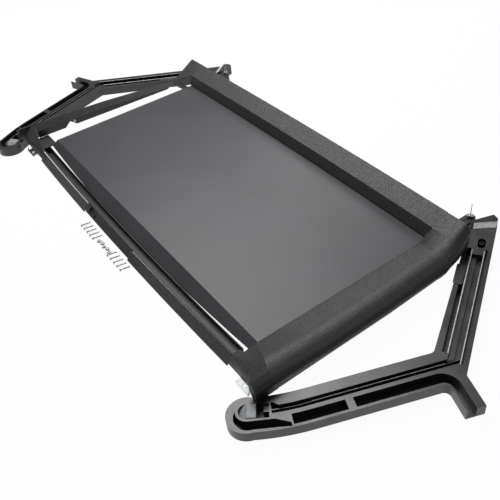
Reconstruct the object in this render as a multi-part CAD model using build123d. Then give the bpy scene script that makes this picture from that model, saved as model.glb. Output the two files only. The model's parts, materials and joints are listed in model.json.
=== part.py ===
from build123d import *
from math import atan2, cos, degrees, hypot, pi, radians, sin, sqrt, tan
import os

# Dog bed with frame: a shallow tray with a smooth deck, textured rails and raised
# ends, and two flat moulded swing arms that lie on the floor under its short ends.
# Millimetres. X runs along the bed, +Y to the rear, +Z up, floor at z = 0.
# The right half carries the end cover; most other pieces come as mirrored pairs.

# ---------------------------------------------------------------- driving sizes
# Tray outline
REAR_HALF = 550.0          # middle of the tray to its ends, along the rear rail
FRONT_FLARE = 17.0         # the front corners stand out further by this
REAR_Y = 256.0             # outer top edge of the rear rail at its ends
FRONT_Y = -305.0           # outer bottom edge of the front rail at its ends
REAR_BOW = 7.0             # the long rails bow outward in the middle
FRONT_BOW = 11.0
SHEET_T = 2.0
SEAT_GAP = 0.3             # air between pieces that sit against each other

# Rear rail and the rear corners
REAR_TOP = 83.0
REAR_RUN = 43.5            # its sloping face, seen from above
REAR_DROP = 19.5
TOE_RUN = 10.5             # steeper band from the slope down to the deck
SKIRT_IN = 120.0           # the lower back wall stops short of the tray's ends by this
SKIRT_FLANGE = 18.0
CORNER_L = 60.0
CORNER_RUN = 76.0          # from the back wall forward to the corner's seat
CORNER_RISE = 2.0          # seat of the left corner above the deck

# Deck
DECK_TOP = 36.0
DECK_T = 3.0
DECK_FRONT_IN = 62.0       # bend of the deck behind the front rail's edge
DECK_TUCK = 20.0           # deck runs on under the rear rail
END_GAP = 50.0             # open slot between the deck and the left end rail
LIP_RUN = 17.0             # front lip slopes down and out
LIP_DROP = 11.0
LIP_BOW = 14.0
CROSSBAR_PITCH = 150.0
CROSSBAR_W = 24.0
CROSSBAR_T = 2.0
JOGGLE_L = 33.0

# Front rail and the front corners
STRIP_BOTTOM = 3.0
STRIP_RUN = 15.0
STRIP_RISE = 23.0
STRIP_LIP = 6.0            # turned-down back edge
GUTTER_W = 23.5
GUTTER_FLOOR = 7.0
GUTTER_FRONT = 9.0         # height of the gutter's front wall
FLANGE_TOP = 23.0
GUSSET_GAP = 4.0           # between the left corner's dark plate and the end rail
FRONT_CORNER_L = 97.0
CORNER_LIFT = 5.0          # the corner's lower edge above the strip's
CORNER_STEPS = 6           # sections and bend points that draw its soft shape
BEND_STEPS = 4
APEX_IN = 28.0
APEX_Z = 65.0
FACE_OUT = 8.0             # the corner's upright face stands ahead of the strip
FACE_TOP = 41.0
FACE_BEND = 12.0           # the face starts to turn into the slope this far below
RIDGE_BEND = 14.0          # and the slope into the right end's cover
END_NOTCH = 22.0           # the end's lower edge runs inward by this much

# Handle in the front rail
HANDLE_LEFT = -166.0
HANDLE_RIGHT = 72.0
HANDLE_SINK = 5.0
CATCH_L = 24.0

# Short end rails
END_STRIP_W = 15.0
END_STRIP_DROP_FRONT = 19.0
END_STRIP_DROP_REAR = 11.0
END_MID_RISE = 4.0
END_CLEARANCE = 2.0        # above the arms
NOTCH_Y = (-174.0, 158.0)
NOTCH_DEPTH = (15.0, 5.0)
NOTCH_HALF = (20.0, 16.0)
LINK_L = 20.0
LINK_LAP = 14.0
LINK_FOOT = 12.0

# Right end cover and the corners it runs into
COVER_T = 3.0
COVER_OUT = 24.0           # stands out past the front corner
COVER_CREST_IN = 35.0      # crest of the cover from its outer side
COVER_CREST_Z = 57.0
COVER_CREST_R = 42.0
COVER_WALL_R = 14.0        # the same at the back wall
COVER_SIDE_DROP = 16.0     # outer bend below the crest
COVER_SIDE_R = 15.0
COVER_DRAFT = 4.0
COVER_FRONT_RISE = 13.0    # the crest climbs by this to the front corner's apex
COVER_DIP_Y = -150.0       # and has come down again here
COVER_MID_IN = 3.0         # the side draws in towards the rear: at the middle,
COVER_SEAM_IN = 9.0        # at the seam with the rear corner,
COVER_SLOPE_IN = 21.0      # beside the rear rail's slope
COVER_WALL_IN = 35.0       # and at the back wall
COVER_SEAM_RISE = 2.0
COVER_SLOPE_RISE = 13.0
COVER_WALL_CREST = 12.0    # crest from the outer side at the back wall
COVER_LAP = 7.0            # the front seam starts ahead of the deck's bend
COVER_SEAM = 4.0           # the rear seam starts behind the corner's seat
SEAM_SKEW = 22.0           # and runs this far forward to the cover's crest
STRAP_W = 12.0             # straps under the cover's seams
STRAP_AHEAD = 2.0          # and past the rear one
BEAM_LAP = 16.0
BEAM_W = 56.0

# Tabs with a bolt hole at the front corners, and the corners' feet
LUG_W = 40.0
LUG_END = 17.0             # outer side of the tab from the corner's end
LUG_T = 2.0
LUG_HEEL_IN = 4.0
LUG_HEEL_Z = 7.0
LUG_REACH = 12.0           # toe ahead of the front rail's edge
LUG_HOLE_D = 7.0
LUG_HOLE_IN = 21.0         # from the tab's outer side
CHEEK_H = 13.0
CHEEK_IN = 5.0
BLOCK_IN = 10.0            # the end block's foot stands this far outside the corner's end
BLOCK_TOE = 31.0           # its toe ahead of the apex

# Swing arms, lying flat: pod at the front, elbow outside, pivot behind the tray
ARM_H = 23.5
ARM_FLOOR = 3.0
POD_OUT = 28.5             # pod's centre from the front corner's end
POD_AHEAD = 43.7           # and ahead of the front rail's edge
ELBOW_OUT = 189.4          # elbow's centre outside the rear rail's end
ELBOW_Y = -6.6
PIVOT_IN = 60.0            # pivot inside the rear rail's end
PIVOT_BACK = 80.0          # and behind the rear rail
PIVOT_SIDE = 27.7          # the rear limb's centre line passes the pivot by this
FRONT_W = 71.0
BEND_L = 110.0             # the front limb is bent between the pod and here
BEND_ANGLE = 14.3
REAR_W = 64.0
REAR_END = 18.0            # the rear limb runs on past the pivot
REAR_TAPER = 8.0
END_SLANT = 35.0           # its end is cut on a slant
END_NOSE = 12.0
STUB_W = 36.0
STUB_OUT = 96.0            # stub end from the front limb's centre line
STUB_ROUND = 12.0
ELBOW_ROUND = 12.0
POD_R = 37.0
RIM_T = 5.0                # outer wall beside the slots
INNER_FLANGE = 22.0
GROOVE_W = 9.0
GROOVE_DEPTH = 13.0
GROOVE_START = 44.0
FUNNEL_L = 14.0            # the groove starts wider, as a funnel of this length
FUNNEL_W = 14.5
GUIDE_T = 1.6              # thin guide strip on the groove's outer side
GUIDE_DROP = 0.8
LEDGE_W = 6.0
LEDGE_DROP = 6.0
MID_STRIP = 8.0
SLOT_START = 76.0          # along the front limb from the pod's centre
BRIDGE_S = 172.0
BRIDGE_L = 14.0
STUB_LIP = 2.5             # left wall of the stub's slot
STUB_SLOT_W = 16.5
SLOT_TURN = 34.0           # radius of the slot's outer side as it turns into the stub
SLOT_TURN_IN = 16.0
REAR_FLANGE = 14.0
REAR_GROOVE = 9.0
RIB_T = 3.0
REAR_LEDGE = 11.0
REAR_LEDGE_DROP = 7.0
REAR_CHANNEL = 11.0
RIM_GROOVE = 4.0
REAR_START = 27.0          # the inner groove and its rib start here, from the elbow
RIM_START = 8.0            # and the outer ones here
REAR_STOP = 116.0          # channels stop short of the limb's end by this
STEP_BACK = 18.0           # the middle channels stop a little sooner
EYE_BACK = 96.0            # oval recess short of the limb's end
EYE_SIDE = 8.0
EYE_L = 31.0
EYE_W = 16.0
RING_IN = 3.0              # ring inside the oval's width, each side
RING_T = 2.5
RING_DROP = 4.0
RING_SHIFT = 5.0
CAP_L = 22.0
CAP_RISE = 7.5
CAP_SHIFT = 22.0
CAP_SLOPE = 15.0           # its front face leans back by this
STOP_BLOCK_S = 238.0
STOP_BLOCK_L = 58.0
STOP_BLOCK_IN = 2.0
STOP_BLOCK_W = 19.0
STOP_BLOCK_RISE = 1.7

# Pods and their lock blocks
POCKET_R = 26.5
POCKET_S = 3.0             # the crescent's centre from the pod's, along and across
POCKET_SIDE = 4.5
WEB_W = 5.0
BLOCK_R = 14.5
BLOCK_END = 17.0           # square end of the block, from the pod's centre
BLOCK_SIDE = 7.0           # block's centre line inside the limb's
BLOCK_GAP = 0.5
BLOCK_TRAVEL = 12.0
BLOCK_RISE = 1.5
BLOCK_EDGE = 1.2
NOSE_S = 1.0               # the block's nose slopes down from here
NOSE_DROP = 9.0
SEAT_FLOOR = 9.0
PIT_L = 22.0               # open pit in line with the block's travel
PIT_W = 12.0
BOX_DROP = 5.0             # sunk land beside the pit
TAIL_MID = 48.0            # the crescent's tail: its inner side turns outward here
TAIL_W = 8.0
TAIL_EDGE = 2.0            # wall left beside the tail's end

# Pivots behind the tray
PIN_D = 6.0
PIN_FOOT = 1.0             # pin's lower end above the floor
PIN_CLEARANCE = 0.05       # radial, in the bush
BUSH_T = 2.5
EAR_T = 4.0
BRACKET_T = 3.0
BRACKET_W = 24.0
BRACKET_LAP = 24.0         # tongue inside the back wall
BRACKET_GAP = 0.5          # over the arm
CAP_CLEARANCE = 3.0        # between a bracket and the arm's end cap
CLIP_L = 13.0
CLIP_W = 10.0
CLIP_H = 6.0
CLIP_TURN = 35.0
CLIP_ROUND = 2.0
WIRE_D = 1.8
WIRE_H = 27.0
WIRE_SPREAD = 11.0
WIRE_TURN = 125.0

# Screws and loose hardware
SCREW_D = 4.0
SCREW_HOLE = 4.4
SCREW_L = 5.0
HEAD_D = 8.0
HEAD_T = 2.4
DRIVE_W = 1.0
DRIVE_L = 4.8
DRIVE_DEPTH = 1.2
RAIL_SCREW_Y = -162.0
RAIL_SCREW_UP = 12.5       # above the web's lower edge
LOOSE_L = 22.0
LOOSE_PITCH = 16.4
LOOSE_OUT = 39.5           # ahead of the front rail's edge
LOOSE_X = -118.0
LOOSE_COUNT = 5
LOOSE_TURN = -16.0
LOOSE_GAP = 62.3           # more room between the two rows, for nuts and washers
NUT_AF = 8.0
NUT_T = 3.2
NUT_X = -36.0
NUT_PITCH = 13.2
NUT_STAGGER = 1.2
NUT_BACK = 11.0            # behind the screws' heads
WASHER_D = 12.0
WASHER_HOLE = 4.6
WASHER_T = 1.0

# ---------------------------------------------------------------- worked out once
FRONT_HALF = REAR_HALF + FRONT_FLARE
END_BOTTOM = ARM_H + END_CLEARANCE
SLOPE_Z = REAR_TOP - REAR_DROP
SLOPE_Y = REAR_Y - REAR_RUN
TOE_Y = SLOPE_Y - TOE_RUN
CORNER_X = REAR_HALF - CORNER_L
CORNER_SEAT_Y = REAR_Y - CORNER_RUN
CORNER_SEAT_Z = DECK_TOP + CORNER_RISE
GUTTER_Y = FRONT_Y + STRIP_RUN
FRONT_CORNER_X = FRONT_HALF - FRONT_CORNER_L
APEX_Y = FRONT_Y + APEX_IN
WEB_REAR_X = REAR_HALF - END_STRIP_W
WEB_FRONT_X = FRONT_HALF - END_STRIP_W
DECK_HALF = WEB_REAR_X - END_GAP
DECK_FRONT_Y = FRONT_Y + DECK_FRONT_IN
COVER_X = FRONT_HALF + COVER_OUT
COVER_FRONT_Y = DECK_FRONT_Y - COVER_LAP
COVER_REAR_Y = CORNER_SEAT_Y + COVER_SEAM
COVER_SEAM_Y = COVER_REAR_Y - SEAM_SKEW
PIVOT_X = REAR_HALF - PIVOT_IN
PIVOT_Y = REAR_Y + PIVOT_BACK
BRACKET_Z = ARM_H + BRACKET_GAP
BUSH_R = PIN_D / 2 + PIN_CLEARANCE + BUSH_T
EAR_R = BUSH_R + EAR_T
LUG_OUT_X = FRONT_HALF - LUG_END
LUG_IN_X = LUG_OUT_X - LUG_W
LUG_HEEL_Y = FRONT_Y + LUG_HEEL_IN
LUG_TOE_Y = FRONT_Y - LUG_REACH
MIN_UP = (Align.CENTER, Align.CENTER, Align.MIN)


# ---------------------------------------------------------------- small helpers
def box(x0, x1, y0, y1, z0, z1):
    """A box between two corners."""
    size = Box(abs(x1 - x0), abs(y1 - y0), abs(z1 - z0))
    return Pos((x0 + x1) / 2, (y0 + y1) / 2, (z0 + z1) / 2) * size


def polygon(*points):
    return make_face(Polyline(*points, close=True))


def thick_line(points, t):
    """Outline of a folded sheet: points run along one face, t lies to their right."""
    right = []
    n = len(points)
    for i, (x, y) in enumerate(points):
        normals = []
        for a, b in ((i - 1, i), (i, i + 1)):
            if a >= 0 and b < n:
                dx = points[b][0] - points[a][0]
                dy = points[b][1] - points[a][1]
                length = hypot(dx, dy)
                normals.append((dy / length, -dx / length))
        nx = sum(v[0] for v in normals) / len(normals)
        ny = sum(v[1] for v in normals) / len(normals)
        scale = t / (nx * nx + ny * ny)
        right.append((x + nx * scale, y + ny * scale))
    return polygon(*points, *reversed(right))


def section_yz(face, x):
    """Stand a flat outline up in the YZ plane at x."""
    return Pos(x, 0, 0) * (Plane.YZ * face)


def section_xz(face, y):
    """Stand a flat outline up in the XZ plane at y, with its first axis along +X."""
    upright = Plane((0, y, 0), x_dir=(1, 0, 0), z_dir=(0, -1, 0))
    return upright * face


def along_x(face, x0, x1):
    return extrude(section_yz(face, x0), x1 - x0, dir=(1, 0, 0))


def along_y(face, y0, y1):
    return extrude(section_xz(face, y0), y1 - y0, dir=(0, 1, 0))


def from_floor(face, z0, height):
    return extrude(Pos(0, 0, z0) * face, height, dir=(0, 0, 1))


def bow_at(bow, x):
    """How far a bowed rail stands out at x, compared with its ends."""
    return bow * (1 - (x / REAR_HALF) ** 2)


def bowed(face, edge_y, bow, x0, x1):
    """A long piece whose outline is drawn at its ends, bowed by bow in the middle."""
    radius = (REAR_HALF ** 2 + bow ** 2) / (2 * abs(bow))
    side = 1 if bow > 0 else -1
    axis = Axis((0, edge_y + bow - side * radius, 0), (0, 0, 1))
    turn = degrees(1.15 * REAR_HALF / radius)
    start = section_yz(face, 0).moved(Location((0, bow, 0))).rotate(axis, -turn)
    ring = revolve(start, axis, 2 * turn)
    deep = 2 * abs(edge_y)
    return ring & box(x0, x1, -deep, deep, -deep, deep)


def rod(x, y, z0, z1, d):
    """An upright round rod."""
    return Pos(x, y, z0) * Cylinder(d / 2, z1 - z0, align=MIN_UP)


def flipped(shape):
    return mirror(shape, about=Plane.YZ)


def both_sides(name, shape):
    """Keep a right-hand piece and its mirrored left-hand twin."""
    parts[name + "_right"] = shape
    parts[name + "_left"] = flipped(shape)


parts = {}


# ---------------------------------------------------------------- long rails
def rear_rail():
    """Back wall, sloping face and the steeper band that meets the deck."""
    folds = [
        (TOE_Y, DECK_TOP + SEAT_GAP + SHEET_T),
        (SLOPE_Y, SLOPE_Z),
        (REAR_Y, REAR_TOP),
        (REAR_Y, END_BOTTOM),
    ]
    rail = bowed(thick_line(folds, SHEET_T), REAR_Y, REAR_BOW, -CORNER_X, CORNER_X)
    slot = tongue_slot()
    return rail - slot - flipped(slot)


def tongue_slot():
    """Opening in the back wall for a pivot bracket."""
    half = BRACKET_W / 2 + SEAT_GAP
    top = BRACKET_Z + BRACKET_T + SEAT_GAP
    depth = REAR_BOW + BRACKET_LAP
    return box(PIVOT_X - half, PIVOT_X + half, REAR_Y - depth, REAR_Y + depth, 0, top)


def rear_skirt():
    """Lower back wall with a turned-in foot; the tray stands on it."""
    inside = REAR_Y - SHEET_T - SEAT_GAP
    folds = [(inside, END_BOTTOM + SKIRT_FLANGE), (inside, 0), (inside - SKIRT_FLANGE, 0)]
    half = REAR_HALF - SKIRT_IN
    return bowed(thick_line(folds, SHEET_T), REAR_Y, REAR_BOW, -half, half)


def strip_face(sink, share):
    """Point up the front rail's sloping face, from its foot (0) to its top (1)."""
    slope = hypot(STRIP_RUN, STRIP_RISE)
    y = FRONT_Y + STRIP_RUN * share + sink * STRIP_RISE / slope
    return y, STRIP_BOTTOM + (STRIP_RISE - sink * STRIP_RUN / slope) * share


def strip_section(sink):
    """The front rail's sloping strip and its turned-down back edge, sunk by sink."""
    low = strip_face(sink, 0)
    high = strip_face(sink, 1)
    return thick_line([low, high, (high[0] + SHEET_T, high[1] - STRIP_LIP)], SHEET_T)


def front_rail(x0, x1):
    """Textured strip; the handle's gap lies between its two lengths."""
    return bowed(strip_section(0), FRONT_Y, -FRONT_BOW, x0, x1)


def handle_recess():
    """Smooth sunk face that fills the handle's gap in the strip."""
    x0 = HANDLE_LEFT + SEAT_GAP
    x1 = HANDLE_RIGHT - SEAT_GAP
    return bowed(strip_section(HANDLE_SINK), FRONT_Y, -FRONT_BOW, x0, x1)


def handle_catch():
    """Catch block on the recess, at its left end, with a narrow thumb plate beside it."""
    foot = strip_face(HANDLE_SINK, 0.2)
    knee = strip_face(HANDLE_SINK, 0.55)
    head = strip_face(HANDLE_SINK, 0.9)
    x0 = HANDLE_LEFT + SEAT_GAP
    x1 = x0 + CATCH_L
    block = bowed(thick_line([foot, head], -HANDLE_SINK), FRONT_Y, -FRONT_BOW, x0, x1)
    plate = bowed(thick_line([foot, knee], -SHEET_T), FRONT_Y, -FRONT_BOW, x1, x1 + CATCH_L)
    return block + plate


def flange_y():
    """Rear face of the gutter's flange, at the rail's ends."""
    return GUTTER_Y + SHEET_T + SEAT_GAP + GUTTER_W


def front_gutter():
    """Dark channel behind the strip; its rear flange stands in front of the deck's lip."""
    front = GUTTER_Y + SHEET_T + HANDLE_SINK + SEAT_GAP
    rear = flange_y()
    folds = [(rear, FLANGE_TOP), (rear, GUTTER_FLOOR), (front, GUTTER_FLOOR)]
    folds.append((front, GUTTER_FLOOR + GUTTER_FRONT))
    face = thick_line(folds, SHEET_T)
    return bowed(face, FRONT_Y, -FRONT_BOW, GUSSET_GAP - WEB_FRONT_X, FRONT_CORNER_X)


def corner_gusset():
    """Plate in the left front corner, from the gutter's flange to the end rail's web."""
    z = FLANGE_TOP + SEAT_GAP
    front = GUTTER_Y + GUSSET_GAP
    rear = DECK_FRONT_Y - GUSSET_GAP
    return flipped(box(DECK_HALF + SEAT_GAP, WEB_FRONT_X - SEAT_GAP, front, rear, z, z + SHEET_T))


# ---------------------------------------------------------------- deck
def deck_panel():
    """Smooth deck; its front lip slopes down to a bowed edge."""
    reach = LIP_RUN + 1.5 * LIP_BOW
    lip_y = DECK_FRONT_Y - LIP_RUN
    rear_y = TOE_Y + DECK_TUCK
    folds = [
        (DECK_FRONT_Y - reach, DECK_TOP - reach * LIP_DROP / LIP_RUN),
        (DECK_FRONT_Y, DECK_TOP),
        (rear_y, DECK_TOP),
    ]
    panel = along_x(thick_line(folds, DECK_T), -DECK_HALF, DECK_HALF)
    edge = ThreePointArc((-DECK_HALF, lip_y), (0, lip_y - LIP_BOW), (DECK_HALF, lip_y))
    rest = Polyline((DECK_HALF, lip_y), (DECK_HALF, rear_y), (-DECK_HALF, rear_y), (-DECK_HALF, lip_y))
    plan = make_face([*edge.edges(), *rest.edges()])
    return panel & extrude(plan, 2 * DECK_TOP, both=True)


def deck_crossbars():
    """Flat bars under the deck, joggled down and seated on the gutter's flange."""
    top = DECK_TOP - DECK_T - SEAT_GAP
    low = GUTTER_FLOOR + CROSSBAR_T
    bars = []
    for step in (-1, 0, 1):
        x = step * CROSSBAR_PITCH
        start = flange_y() - bow_at(FRONT_BOW, abs(x) + CROSSBAR_W / 2) + SEAT_GAP
        folds = [
            (start, low),
            (DECK_FRONT_Y, low),
            (DECK_FRONT_Y + JOGGLE_L, top),
            (REAR_Y - SKIRT_FLANGE - 4 * SHEET_T, top),
        ]
        bars.append(along_x(thick_line(folds, CROSSBAR_T), x - CROSSBAR_W / 2, x + CROSSBAR_W / 2))
    return Compound(children=bars)


# ---------------------------------------------------------------- short ends
END_Y0 = APEX_Y + 2 * SHEET_T
END_Y1 = CORNER_SEAT_Y - 2 * SHEET_T


def web_x(y):
    """Outer face of the end rail's web, which leans in towards the rear."""
    share = (y - END_Y0) / (END_Y1 - END_Y0)
    return WEB_FRONT_X + (WEB_REAR_X - WEB_FRONT_X) * share


def end_section(inner_x, top_z, drop):
    """Section of the left end rail, drawn on the right-hand side."""
    folds = [(inner_x, END_BOTTOM), (inner_x, top_z - drop), (inner_x + END_STRIP_W, top_z)]
    return thick_line(folds, SHEET_T)


def end_rail():
    """Sloping top strip and upright web with two notches; open to the deck."""
    mid_y = (END_Y0 + END_Y1) / 2
    mid_z = (APEX_Z + CORNER_SEAT_Z) / 2 + END_MID_RISE
    mid_drop = (END_STRIP_DROP_FRONT + END_STRIP_DROP_REAR) / 2
    sections = [
        section_xz(end_section(web_x(END_Y0), APEX_Z, END_STRIP_DROP_FRONT), END_Y0),
        section_xz(end_section(web_x(mid_y), mid_z, mid_drop), mid_y),
        section_xz(end_section(web_x(END_Y1), CORNER_SEAT_Z, END_STRIP_DROP_REAR), END_Y1),
    ]
    rail = loft(sections, ruled=True)
    for y, depth, half in zip(NOTCH_Y, NOTCH_DEPTH, NOTCH_HALF):
        low = END_BOTTOM - SHEET_T
        notch = polygon((y - half, low), (y, END_BOTTOM + depth), (y + half, low))
        rail -= along_x(notch, web_x(y) - 2 * SHEET_T, web_x(y) + 2 * SHEET_T)
    middle = Pos(web_x(RAIL_SCREW_Y), RAIL_SCREW_Y, END_BOTTOM + RAIL_SCREW_UP)
    return rail - middle * Rot(0, 90, 0) * Cylinder(SCREW_HOLE / 2, 4 * SHEET_T)


def rail_screw():
    """Pan-head screw through the end rail's web, head towards the deck."""
    head_x = web_x(RAIL_SCREW_Y) - SEAT_GAP - HEAD_T
    return Pos(head_x, RAIL_SCREW_Y, END_BOTTOM + RAIL_SCREW_UP) * Rot(0, 90, 0) * pan_screw(SCREW_L)


def end_link():
    """Bent strap that carries the end rail from the deck's rear corner."""
    under = DECK_TOP - DECK_T - SEAT_GAP - SHEET_T
    foot = END_BOTTOM + SHEET_T
    folds = [
        (DECK_HALF - LINK_LAP, under),
        (DECK_HALF + LINK_FOOT, under),
        (WEB_REAR_X - 2 * SHEET_T, foot),
        (WEB_REAR_X - SEAT_GAP, foot),
    ]
    rear = TOE_Y - 3 * SHEET_T
    return along_y(thick_line(folds, -SHEET_T), rear - LINK_L, rear)


def end_stations():
    """Down the right end: y, inner edge's height, crest's height and inset, side, radius."""
    edge = DECK_TOP
    mid = COVER_CREST_Z
    front = mid + COVER_FRONT_RISE
    slope = mid + COVER_SLOPE_RISE
    crest_in = COVER_CREST_IN
    crest_r = COVER_CREST_R
    slope_crest_in = (crest_in + COVER_WALL_CREST) / 2
    slope_r = (crest_r + COVER_WALL_R) / 2
    between_in = (COVER_SEAM_IN + COVER_SLOPE_IN) / 2
    return [
        (FRONT_Y - 2 * FACE_OUT, edge, front, crest_in, 0, crest_r),
        (APEX_Y, edge, front, crest_in, 0, crest_r),
        (COVER_DIP_Y, edge, mid, crest_in, COVER_MID_IN / 2, crest_r),
        (0, edge, mid, crest_in, COVER_MID_IN, crest_r),
        (COVER_SEAM_Y, edge, mid + COVER_SEAM_RISE, crest_in, COVER_SEAM_IN, crest_r),
        (COVER_REAR_Y, edge, (mid + slope) / 2, crest_in, between_in, crest_r),
        (SLOPE_Y, SLOPE_Z, slope, slope_crest_in, COVER_SLOPE_IN, slope_r),
        (REAR_Y, REAR_TOP, REAR_TOP, COVER_WALL_CREST, COVER_WALL_IN, COVER_WALL_R),
    ]


def end_profile(station, inset):
    """Rounded section of the right end: its outer face, or its inner one by inset."""
    y, start_z, crest_z, crest_in, draw_in, crest_r = station
    side_x = COVER_X - draw_in - inset
    crest = (side_x - crest_in, crest_z - inset)
    side = (side_x, crest_z - COVER_SIDE_DROP - inset)
    low = END_BOTTOM - 2 * inset
    start_x = DECK_HALF + SEAT_GAP
    face = polygon((start_x, start_z - inset), crest, side, (side_x - COVER_DRAFT, low), (start_x, low))
    face = round_vertex(face, side, min(COVER_SIDE_R, crest_r) - inset)
    return section_xz(round_vertex(face, crest, crest_r - inset), y)


def end_bulk(inset):
    """The right end as one bulk, from ahead of the front corner to the back wall."""
    stations = end_stations()
    stations[-1] = (REAR_Y - inset, *stations[-1][1:])
    return loft([end_profile(row, inset) for row in stations], ruled=True)


def ahead_of(x0, y0, x1, y1):
    """Everything ahead of an upright plane through two plan points."""
    turn = degrees(atan2(y1 - y0, x1 - x0))
    align = (Align.CENTER, Align.MAX, Align.CENTER)
    size = 2 * REAR_HALF
    return Pos(x0, y0, 0) * Rot(0, 0, turn) * Box(size, size, size, align=align)


def front_seam(gap):
    """Everything ahead of the seam between the cover and the front corner."""
    return ahead_of(DECK_HALF, COVER_FRONT_Y - gap, FRONT_HALF, APEX_Y - gap)


def seam_y(x):
    """Where the seam between the cover and the front corner runs, over plan position x."""
    return COVER_FRONT_Y + (APEX_Y - COVER_FRONT_Y) * (x - DECK_HALF) / (FRONT_HALF - DECK_HALF)


def rear_seam(gap):
    """Everything ahead of the seam between the cover and the rear corner."""
    return ahead_of(DECK_HALF, COVER_REAR_Y + gap, COVER_X - COVER_CREST_IN, COVER_SEAM_Y + gap)


def end_cover():
    """Cover over the right end: one soft roll from the deck's edge to its outer side."""
    shell = end_bulk(0) - end_bulk(COVER_T)
    return (shell & rear_seam(0)) - front_seam(0)


def seam_strap(up_to, beyond):
    """Strap spot-welded inside the cover's seam, so that the neighbour's edge rests on it."""
    shell = end_bulk(COVER_T + SEAT_GAP) - end_bulk(COVER_T + SEAT_GAP + SHEET_T)
    return (shell & up_to) - beyond


def end_beam():
    """Angle under the right end cover; it carries the deck's and the cover's edges."""
    z = DECK_TOP - DECK_T - SEAT_GAP
    edge = DECK_HALF - BEAM_LAP + BEAM_W
    folds = [(DECK_HALF - BEAM_LAP, z), (edge, z), (edge, END_BOTTOM)]
    return along_y(thick_line(folds, SHEET_T), DECK_FRONT_Y + COVER_LAP, COVER_SEAM_Y)


# ---------------------------------------------------------------- corners
def shifted(points, dy):
    return [(y + dy, z) for y, z in points]


def rear_corner_open():
    """Rear corner of the left end, drawn on the right: the slope widens to its seat."""
    inner = [(SLOPE_Y, SLOPE_Z), (REAR_Y, REAR_TOP), (REAR_Y, END_BOTTOM)]
    outer = [(CORNER_SEAT_Y, CORNER_SEAT_Z), (REAR_Y, REAR_TOP), (REAR_Y, END_BOTTOM)]
    inner = shifted(inner, bow_at(REAR_BOW, CORNER_X))
    start = section_yz(thick_line(inner, SHEET_T), CORNER_X + SEAT_GAP)
    end = section_yz(thick_line(outer, SHEET_T), REAR_HALF)
    return loft([start, end], ruled=True) - tongue_slot()


def rear_corner_covered():
    """Right rear corner: it carries the cover's roll into the rear rail's slope."""
    shell = end_bulk(0) - end_bulk(COVER_T) - rear_seam(SEAT_GAP)
    toe = TOE_Y + bow_at(REAR_BOW, CORNER_X) - SEAT_GAP
    rail = box(0, CORNER_X + SEAT_GAP, toe, 2 * REAR_Y, 0, 2 * REAR_TOP)
    return shell - rail - tongue_slot()


def cover_top(x):
    """Height of the cover's outer face at its front end, over plan position x."""
    crest_x = COVER_X - COVER_CREST_IN
    crest_z = COVER_CREST_Z + COVER_FRONT_RISE
    up = atan2(crest_z - DECK_TOP, crest_x - DECK_HALF - SEAT_GAP)
    down = atan2(COVER_SIDE_DROP, COVER_CREST_IN)
    run = COVER_CREST_R * tan((up + down) / 2)
    bend_x = crest_x - run * cos(up)
    if x <= bend_x:
        return crest_z - (crest_x - x) * tan(up)
    middle_x = bend_x + COVER_CREST_R * sin(up)
    middle_z = crest_z - run * sin(up) - COVER_CREST_R * cos(up)
    return middle_z + sqrt(COVER_CREST_R ** 2 - (x - middle_x) ** 2)


def soft_bend(before, corner, after):
    """Points of a soft curve from before to after that heads for the corner."""
    points = []
    for i in range(1, BEND_STEPS):
        t = i / BEND_STEPS
        weights = ((1 - t) ** 2, 2 * t * (1 - t), t ** 2)
        along, up = (sum(w * p[k] for w, p in zip(weights, (before, corner, after))) for k in (0, 1))
        points.append((along, up))
    return [before, *points, after]


def toward(start, end, reach):
    """Point on the way from start to end, reach from the start."""
    share = reach / hypot(end[0] - start[0], end[1] - start[1])
    return (start[0] + (end[0] - start[0]) * share, start[1] + (end[1] - start[1]) * share)


def front_corner_section(x, seam):
    """Outer face of a front corner at x: foot, bend, slope, and the roll into the cover."""
    share = (x - FRONT_CORNER_X) / FRONT_CORNER_L
    bow = bow_at(FRONT_BOW, FRONT_CORNER_X)
    lift = CORNER_LIFT / STRIP_RISE
    middle = (1 + lift) / 2
    strip = [(FRONT_Y - bow + STRIP_RUN * k, STRIP_BOTTOM + STRIP_RISE * k) for k in (lift, middle, 1)]
    end = [(FRONT_Y, strip[0][1]), (FRONT_Y - FACE_OUT, FACE_TOP), (APEX_Y, APEX_Z)]
    foot, knee, ridge = [
        (y0 + (y1 - y0) * share, z0 + (z1 - z0) * share) for (y0, z0), (y1, z1) in zip(strip, end)
    ]
    cut = (FACE_BEND - STRIP_LIP) * share + STRIP_LIP
    face = [foot, *soft_bend(toward(knee, foot, cut), knee, toward(knee, ridge, cut))]
    if not seam:
        return [*face, ridge]
    cut = (RIDGE_BEND - STRIP_LIP / 2) * share + STRIP_LIP / 2
    back = (seam_y(x) + SHEET_T, cover_top(x))
    return [*face, *soft_bend(toward(ridge, knee, cut), ridge, back)]


def front_corner(seam):
    """Front corner: the strip turns upright and leans back to the apex.

    With the seam it rolls on back to the cover; without it the corner stops at its ridge.
    """
    sections = []
    for step in range(CORNER_STEPS + 1):
        x = FRONT_HALF - (FRONT_CORNER_L - SEAT_GAP) * (1 - step / CORNER_STEPS)
        sections.append(section_yz(thick_line(front_corner_section(x, seam), SHEET_T), x))
    corner = loft(sections, ruled=True)
    past = FRONT_HALF + 1
    low = STRIP_BOTTOM - 1
    notch = polygon((past, FACE_TOP + 1), (FRONT_HALF - END_NOTCH, low), (past, low))
    corner -= along_y(notch, FRONT_Y - 2 * FACE_OUT, APEX_Y)
    if seam:
        corner &= front_seam(SEAT_GAP)
        corner -= box(0, DECK_HALF + SEAT_GAP, flange_y() - FRONT_BOW, 0, 0, 2 * DECK_TOP)
    return corner


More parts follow.
